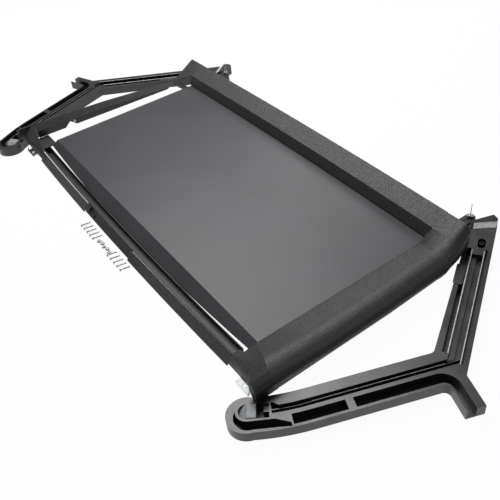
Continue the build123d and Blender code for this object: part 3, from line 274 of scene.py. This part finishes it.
# %% [markdown]
# ## Pale acetal of the lock blocks
# Each pod holds one pale grey block of acetal, a slippery plastic that needs no grease. It
# is slightly waxy, so it gets a touch of light under its skin.

# %% Make the pale acetal
ACETAL_FLOW = 12.0   # mm, clouds left by the melt's flow
ACETAL_SKIN = 2.0    # mm, fine waxy unevenness of the skin
LIGHT_DEPTH = 2.0    # mm, how far light soaks in

def make_acetal():
    finish, tree, surface, place = new_finish("pale_grey_acetal")
    tone = between(tree, grain(tree, place, ACETAL_FLOW), *USUAL, "#85898a", "#989c9d")
    tree.links.new(tone, surface.inputs["Base Color"])
    skin = grain(tree, place, ACETAL_SKIN)
    tree.links.new(span(tree, skin, *USUAL, 0.38, 0.48), surface.inputs["Roughness"])
    surface.inputs["IOR"].default_value = 1.48
    surface.inputs["Subsurface Weight"].default_value = 0.05
    surface.inputs["Subsurface Radius"].default_value = [LIGHT_DEPTH * MM] * 3
    return finish


# %% [markdown]
# ## Bright zinc plate
# The corner tabs, the pins with their clips and all screws, nuts and washers are steel with
# bright zinc plate. It is a metal, so its colour is its reflection: a cool pale grey with a
# soft blur and a fine cloudy crystal pattern.

# %% Make the zinc plate
CRYSTAL = 3.0        # mm, cloudy crystals of the plate as drawn

def make_zinc():
    finish, tree, surface, place = new_finish("bright_zinc_plate")
    crystals = grain(tree, place, CRYSTAL, detail=3.0)
    tone = between(tree, crystals, *USUAL, "#8d9092", "#b7babc")
    tree.links.new(tone, surface.inputs["Base Color"])
    surface.inputs["Metallic"].default_value = 1.0
    tree.links.new(span(tree, crystals, *USUAL, 0.28, 0.40), surface.inputs["Roughness"])
    bump(tree, surface, crystals, depth_mm=0.03, strength=0.5)
    return finish


# %% [markdown]
# ## Blackened steel
# The bushes in the arms and the rings in their rear ends are steel with an oiled black
# oxide. It keeps a metal's gleam but hardly any colour.

# %% Make the blackened steel
OIL_CLOUD = 5.0      # mm, patches where the oil has rubbed thin

def make_black_oxide():
    finish, tree, surface, place = new_finish("oiled_black_oxide_steel")
    oil = grain(tree, place, OIL_CLOUD, detail=3.0)
    tone = between(tree, oil, 0.35, 0.7, "#2a2b2c", "#4a4b4c")
    tree.links.new(tone, surface.inputs["Base Color"])
    surface.inputs["Metallic"].default_value = 1.0
    tree.links.new(span(tree, oil, *USUAL, 0.42, 0.30), surface.inputs["Roughness"])
    bump(tree, surface, oil, depth_mm=0.03, strength=0.5)
    return finish


# %% Keep all finishes by their slot
finishes = {
    "textured_steel": make_grained_coat(),
    "deck": make_satin_sheet(),
    "black_steel": make_black_coat(),
    "arm_plastic": make_nylon(),
    "dark_plastic": make_dull_moulding(),
    "lock_plastic": make_acetal(),
    "zinc": make_zinc(),
    "dark_steel": make_black_oxide(),
}
print("finishes:", sorted(m.name for m in finishes.values()))

# %% [markdown]
# ## Dressing the solids
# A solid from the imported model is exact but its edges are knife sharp, and no real edge is:
# a folded sheet turns through a small radius and a moulding leaves its tool with one. Those
# radii are what draws the thin bright lines on a black object. Each solid gets a weld, which
# closes the seams left by the file format, and a small bevel of its material's own size. Only
# the bevel's faces turn the light: each wide face keeps its own flat tone, so a fold in the
# sheet stays a crisp line. These are modifiers, so the solid's own points stay in place.

# %% Build the nodes that shade by angle
SHARP = math.radians(28)    # edges that turn by more than this are sharp and get a radius

def make_shading_by_angle():
    """Nodes that shade every edge smooth, except where two faces meet at a sharp angle."""
    group = bpy.data.node_groups.new("shade_by_angle", "GeometryNodeTree")
    group.interface.new_socket("Geometry", in_out="INPUT", socket_type="NodeSocketGeometry")
    group.interface.new_socket("Geometry", in_out="OUTPUT", socket_type="NodeSocketGeometry")
    mesh_in = group.nodes.new("NodeGroupInput").outputs["Geometry"]
    angle = add(group, "GeometryNodeInputMeshEdgeAngle").outputs["Unsigned Angle"]
    sharp = add(group, "FunctionNodeCompare", {0: angle, 1: SHARP}, operation="GREATER_THAN")
    smooth = add(group, "GeometryNodeSetShadeSmooth", {
        "Geometry": mesh_in, "Shade Smooth": True,
    }, domain="FACE")
    free = add(group, "GeometryNodeSetShadeSmooth", {
        "Geometry": smooth.outputs[0], "Shade Smooth": True,
    }, domain="EDGE")
    split = add(group, "GeometryNodeSetShadeSmooth", {
        "Geometry": free.outputs[0], "Selection": sharp.outputs["Result"], "Shade Smooth": False,
    }, domain="EDGE")
    out = group.nodes.new("NodeGroupOutput")
    group.links.new(split.outputs[0], out.inputs["Geometry"])
    return group


shading_by_angle = make_shading_by_angle()
print("nodes that shade by angle:", len(shading_by_angle.nodes))

# %% Soften a solid's edges
WELD_MM = 0.01        # points nearer than this become one
EDGE_STEPS = 2        # faces across each radius

def soften_edges(piece, radius_mm):
    """Weld the mesh's seams, round its edges by radius_mm and shade by angle."""
    # normals stored with the mesh would hide the shading that is built here
    if "custom_normal" in piece.data.attributes:
        piece.data.attributes.remove(piece.data.attributes["custom_normal"])
    weld = piece.modifiers.new("close_seams", "WELD")
    weld.merge_threshold = WELD_MM * MM
    bevel = piece.modifiers.new("edge_radius", "BEVEL")
    bevel.width = radius_mm * MM
    bevel.segments = EDGE_STEPS
    bevel.limit_method = "ANGLE"
    bevel.angle_limit = SHARP
    bevel.use_clamp_overlap = True
    bevel.harden_normals = False
    shading = piece.modifiers.new("shade_by_angle", "NODES")
    shading.node_group = shading_by_angle
    flat = piece.modifiers.new("keep_wide_faces_flat", "WEIGHTED_NORMAL")
    flat.mode = "FACE_AREA"
    flat.weight = 100    # the widest face at a corner decides
    flat.keep_sharp = True


# %% Dress every solid
EDGE_MM = {           # edge radius by material slot
    "textured_steel": 0.9,
    "deck": 0.6,
    "black_steel": 0.5,
    "arm_plastic": 1.1,
    "dark_plastic": 1.0,
    "lock_plastic": 0.6,
    "zinc": 0.25,
    "dark_steel": 0.3,
}

def dress(piece, finish):
    """Give the piece this finish and no other."""
    piece.data.materials.clear()
    piece.data.materials.append(finish)


slots = {row["node"]: row["material_slot"] for row in frame["record"]["subparts"]}
for name, piece in nodes.items():
    dress(piece, finishes[slots[name]])
    soften_edges(piece, EDGE_MM[slots[name]])
print("dressed", len(nodes), "solids")

# %% [markdown]
# ## Bright lines on the arms
# Two ribs run along each arm's rear limb, and the light on their rounded tops makes them the
# brightest lines of the whole bed. That light is painted: a line in the arm's own finish would
# blur at this width, so each highlight is a real ribbon with a rounded back in a pale finish,
# swept along its rib and sunk a little into it. A third, very thin one follows the front limb.
# The light on the raised cap's slanted face, at the rear limb's end, is painted as a pale plate
# on that face. The left arm is the right one mirrored.

# %% Make the finish of the painted highlights
HIGHLIGHT_PATCH = 9.0          # mm, patches of the painted highlight

# a pale finish that paints the highlights on the arms: the light on the rib tops and on the
# cap's slanted face
def make_painted_highlight():
    finish, tree, surface, place = new_finish("painted_highlight_pale")
    highlight_patches = grain(tree, place, HIGHLIGHT_PATCH, detail=4.0, roughness=0.7)
    # the pale tone is painted highlight, lighter and darker in patches
    tone = between(tree, highlight_patches, 0.32, 0.62, "#a6a9ab", "#dcdee0")
    tree.links.new(tone, surface.inputs["Base Color"])
    tree.links.new(span(tree, highlight_patches, *USUAL, 0.42, 0.26), surface.inputs["Roughness"])
    surface.inputs["IOR"].default_value = 1.53
    bump(tree, surface, highlight_patches, depth_mm=0.04, strength=0.5)
    return finish


highlight_finish = make_painted_highlight()

# %% Find places on the arms
ELBOW = Vector((739.4, -6.6))        # mm, plan point where the right arm's limbs meet
REAR_TURN = math.radians(122.305)    # heading of the rear limb
FRONT_TURN = math.radians(69.295)    # heading of the front limb's straight run
ARM_TOP = 23.5                       # mm, height of the ribs

def limb_place(side, turn, along, outward, height):
    """A point on a limb, in mm from the elbow; side is 1 for the right arm, -1 for the left."""
    heading = Vector((math.cos(turn), math.sin(turn)))
    spot = ELBOW + heading * along + Vector((heading.y, -heading.x)) * outward
    return Vector((side * spot.x, spot.y, height)) * MM


# %% Turn a finished shape into a piece that rides on an arm
def arm_piece(name, arm, shape):
    """Object made from the bmesh shape, in the pale finish that paints highlights, riding on the
    named arm.
    """
    mesh = bpy.data.meshes.new(name)
    shape.to_mesh(mesh)
    shape.free()
    piece = bpy.data.objects.new(name, mesh)
    bpy.context.scene.collection.objects.link(piece)
    mesh.materials.append(highlight_finish)
    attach(piece, f"arm_{arm}")


# %% Make a ribbon with a rounded back
RIBBON_SUNK = 0.3     # mm under the rib's top
RIBBON_RISE = 0.5     # mm above it
RIBBON_SIDE = 0.15    # mm above it, where the back begins to round
RIBBON_CROWN = 0.6    # share of the width that the flat of the back takes

def ribbon(name, arm, path, width_mm):
    """A thin strip along path, a list of points at the height of the rib's top."""
    half = width_mm / 2
    crown = RIBBON_CROWN * half
    outline = [
        (-half, -RIBBON_SUNK), (-half, RIBBON_SIDE), (-crown, RIBBON_RISE),
        (crown, RIBBON_RISE), (half, RIBBON_SIDE), (half, -RIBBON_SUNK),
    ]
    strip = bmesh.new()
    rings = []
    for i, point in enumerate(path):
        run = (path[min(i + 1, len(path) - 1)] - path[max(i - 1, 0)]).normalized()
        across = Vector((run.y, -run.x, 0)).normalized()
        rings.append([strip.verts.new(point + across * (x * MM) + Vector((0, 0, z * MM)))
                      for x, z in outline])
    for near, far in zip(rings, rings[1:]):
        for i in range(len(outline)):
            j = (i + 1) % len(outline)
            strip.faces.new((near[i], near[j], far[j], far[i]))
    strip.faces.new(rings[0])
    strip.faces.new(rings[-1])
    bmesh.ops.recalc_face_normals(strip, faces=strip.faces)
    arm_piece(name, arm, strip)


# %% Lay the ribbons on both arms
# each ribbon paints the highlight on one rib's rounded top
RIBBONS = {           # name: heading, mm outward, mm from, mm to, mm wide
    "wide_rib_line": (REAR_TURN, -7.5, 27, 321, 2.3),
    "outer_rib_line": (REAR_TURN, 17.5, 8, 321, 1.9),
    "front_rib_line": (FRONT_TURN, -5.3, -255, -6, 0.7),
}
STEPS = 12            # stretches along a ribbon
ARMS = {"right": 1, "left": -1}

for arm, side in ARMS.items():
    for name, (turn, outward, start, stop, width) in RIBBONS.items():
        path = [limb_place(side, turn, start + (stop - start) * i / STEPS, outward, ARM_TOP)
                for i in range(STEPS + 1)]
        ribbon(f"{name}_{arm}", arm, path, width)
print("ribbons:", len(ARMS) * len(RIBBONS))

# %% Paint the highlight on the cap's slanted face
CAP_START = 383.86    # mm from the elbow to the cap's foot, on the limb's inner side
CAP_RISE = 7.5        # mm, the slanted face's height
CAP_SLOPE = 15.0      # how far the slanted face leans back over that rise
CAP_SHIFT = 22.0      # how much further the foot lies on the limb's outer side
CAP_INNER = 24.0      # the cap's reach to the limb's inner side
CAP_OUTER = 32.0      # and to its outer side
PLATE_T = 0.5         # mm the plate stands proud
PLATE_SUNK = 0.3      # mm it is sunk into the face
PLATE_EASE = 0.12     # mm, its edge radius
PLATE_EDGE = [        # mm outward across the limb, share of the cap's rise
    (-16.0, 0.10), (-15.2, 0.04), (29.6, 0.04), (30.6, 0.10),
    (30.6, 0.84), (29.6, 0.90), (-15.2, 0.90), (-16.0, 0.84),
]

def cap_spot(side, outward, up, lift):
    """A point on the slanted face: outward across the limb, up from 0 at its foot to 1."""
    share = (outward + CAP_INNER) / (CAP_INNER + CAP_OUTER)
    along = CAP_START + CAP_SHIFT * share + CAP_SLOPE * up
    return limb_place(side, REAR_TURN, along, outward, ARM_TOP + CAP_RISE * up + lift)


def cap_painted_highlight(arm, side):
    """A thin pale plate with eased corners on the cap's slanted face, painting the light on it.
    """
    plate = bmesh.new()
    low = [plate.verts.new(cap_spot(side, x, up, -PLATE_SUNK)) for x, up in PLATE_EDGE]
    high = [plate.verts.new(cap_spot(side, x, up, PLATE_T)) for x, up in PLATE_EDGE]
    plate.faces.new(low)
    plate.faces.new(high)
    for i in range(len(PLATE_EDGE)):
        j = (i + 1) % len(PLATE_EDGE)
        plate.faces.new((low[i], low[j], high[j], high[i]))
    bmesh.ops.recalc_face_normals(plate, faces=plate.faces)
    bmesh.ops.bevel(plate, geom=list(plate.edges), offset=PLATE_EASE * MM, segments=1,
                    affect="EDGES")
    arm_piece(f"cap_painted_highlight_{arm}", arm, plate)


# the pale plate paints the highlight on each cap's lit slanted face
for arm, side in ARMS.items():
    cap_painted_highlight(arm, side)
print("cap plates:", len(ARMS))


# %% [markdown]
# ## Floor, light and camera
# The bed lies on a wide white floor in a plain grey room. To the camera and in reflections
# both show at a set brightness. For all other light the floor is plain matt white and the
# walls are almost dark, so the floor still keeps a soft shadow. The light comes from soft
# boxes 2.6 m away, most of them beyond the bed's far end and overhead: their blurred
# reflections are the pale pool on the deck and the sheen on the arms. Together they light a
# level white sheet to about white, so every colour renders about as it is written.

# %% Lay the floor
FLOOR_HALF = 40.0     # m
FLOOR_DROP = 0.2      # mm under the bed, so that their faces never fight
FLOOR_SHOWN = 0.96    # share of the floor that stays white in the shadow

def seen_directly(tree):
    """1 for rays that show the floor or the room itself, 0 for rays that light the bed."""
    path = add(tree, "ShaderNodeLightPath")
    seen = add(tree, "ShaderNodeMath", {
        0: path.outputs["Is Camera Ray"], 1: path.outputs["Is Glossy Ray"],
    }, operation="MAXIMUM")
    seen = add(tree, "ShaderNodeMath", {
        0: seen.outputs[0], 1: path.outputs["Is Transmission Ray"],
    }, operation="MAXIMUM")
    return seen.outputs[0]


def make_floor():
    sheet = bmesh.new()
    bmesh.ops.create_grid(sheet, x_segments=1, y_segments=1, size=FLOOR_HALF)
    mesh = bpy.data.meshes.new("white_floor")
    sheet.to_mesh(mesh)
    sheet.free()
    floor = bpy.data.objects.new("white_floor", mesh)
    floor.location.z = cad_box[0].z - FLOOR_DROP * MM
    bpy.context.scene.collection.objects.link(floor)
    finish = bpy.data.materials.new("white_floor")
    finish.use_nodes = True
    tree = finish.node_tree
    tree.nodes.clear()
    matt = add(tree, "ShaderNodeBsdfDiffuse", {"Color": paint("#f2f2f2")})
    glow = add(tree, "ShaderNodeEmission", {"Color": (1, 1, 1, 1), "Strength": 1.0})
    share = add(tree, "ShaderNodeMath", {
        0: seen_directly(tree), 1: FLOOR_SHOWN,
    }, operation="MULTIPLY")
    both = add(tree, "ShaderNodeMixShader", {"Fac": share.outputs[0]})
    tree.links.new(matt.outputs["BSDF"], both.inputs[1])
    tree.links.new(glow.outputs["Emission"], both.inputs[2])
    add(tree, "ShaderNodeOutputMaterial", {"Surface": both.outputs["Shader"]})
    mesh.materials.append(finish)


make_floor()
print("floor:", 2 * FLOOR_HALF, "m wide")

# %% Light the room
ROOM_LIGHT = 0.06     # what the room's walls add to the light
ROOM_SHOWN = 0.32     # how bright the walls look, directly and in reflections

def light_room():
    world = bpy.data.worlds.new("bright_room")
    bpy.context.scene.world = world
    world.use_nodes = True
    tree = world.node_tree
    tree.nodes.clear()
    level = add(tree, "ShaderNodeMapRange", {
        "Value": seen_directly(tree), "To Min": ROOM_LIGHT, "To Max": ROOM_SHOWN,
    })
    light = add(tree, "ShaderNodeBackground", {
        "Color": (1, 1, 1, 1), "Strength": level.outputs["Result"],
    })
    add(tree, "ShaderNodeOutputWorld", {"Surface": light.outputs["Background"]})


light_room()
print("walls give", ROOM_LIGHT, "and show at", ROOM_SHOWN)

# %% Hang the soft boxes
LIGHT_AIM = Vector((0.1, 0.0, 0.0))    # m, the point that every soft box faces
REACH = 2.6           # m from there to each box
BOX_SIZE = (1.1, 1.0)    # m
SOFT_BOXES = {        # name: degrees round from +X, degrees up, watts
    "low_far_box": (130, 30, 10),
    "high_far_box": (130, 72, 24),
    "far_box": (155, 48, 18),
    "overhead_box": (192, 58, 24),
    "left_box": (250, 60, 4),
    "front_fill": (290, 25, 4),
}

def soft_box(name, turn, height, power):
    """A soft box at REACH, turn degrees round and height degrees up."""
    data = bpy.data.lights.new(name, "AREA")
    data.shape = "RECTANGLE"
    data.size, data.size_y = BOX_SIZE
    data.energy = power
    turn, height = math.radians(turn), math.radians(height)
    level = math.cos(height)
    away = Vector((level * math.cos(turn), level * math.sin(turn), math.sin(height)))
    lamp = bpy.data.objects.new(name, data)
    lamp.location = LIGHT_AIM + REACH * away
    lamp.rotation_mode = "QUATERNION"
    lamp.rotation_quaternion = (-away).to_track_quat("-Z", "Y")
    bpy.context.scene.collection.objects.link(lamp)


for name, (turn, height, power) in SOFT_BOXES.items():
    soft_box(name, turn, height, power)
print("soft boxes:", sum(power for _, _, power in SOFT_BOXES.values()), "W")

# %% Set the camera
SENSOR = 36           # mm
LENS = 47.43          # mm
EYE = Vector((1.18983, -0.65361, 0.98045))    # m
EYE_RIGHT = Vector((0.576815, 0.811558, -0.093053))
EYE_DOWN = Vector((0.498948, -0.440221, -0.746496))

def set_camera():
    data = bpy.data.cameras.new("camera")
    data.sensor_width = SENSOR
    data.lens = LENS
    camera = bpy.data.objects.new("camera", data)
    away = EYE_RIGHT.cross(EYE_DOWN)
    turn = Matrix((EYE_RIGHT, -EYE_DOWN, -away)).transposed()
    camera.matrix_world = Matrix.Translation(EYE) @ turn.to_4x4()
    bpy.context.scene.collection.objects.link(camera)
    bpy.context.scene.camera = camera


set_camera()
print("camera:", round(EYE.length, 3), "m from the bed's middle")
bpy.context.scene.view_settings.view_transform = "Standard"
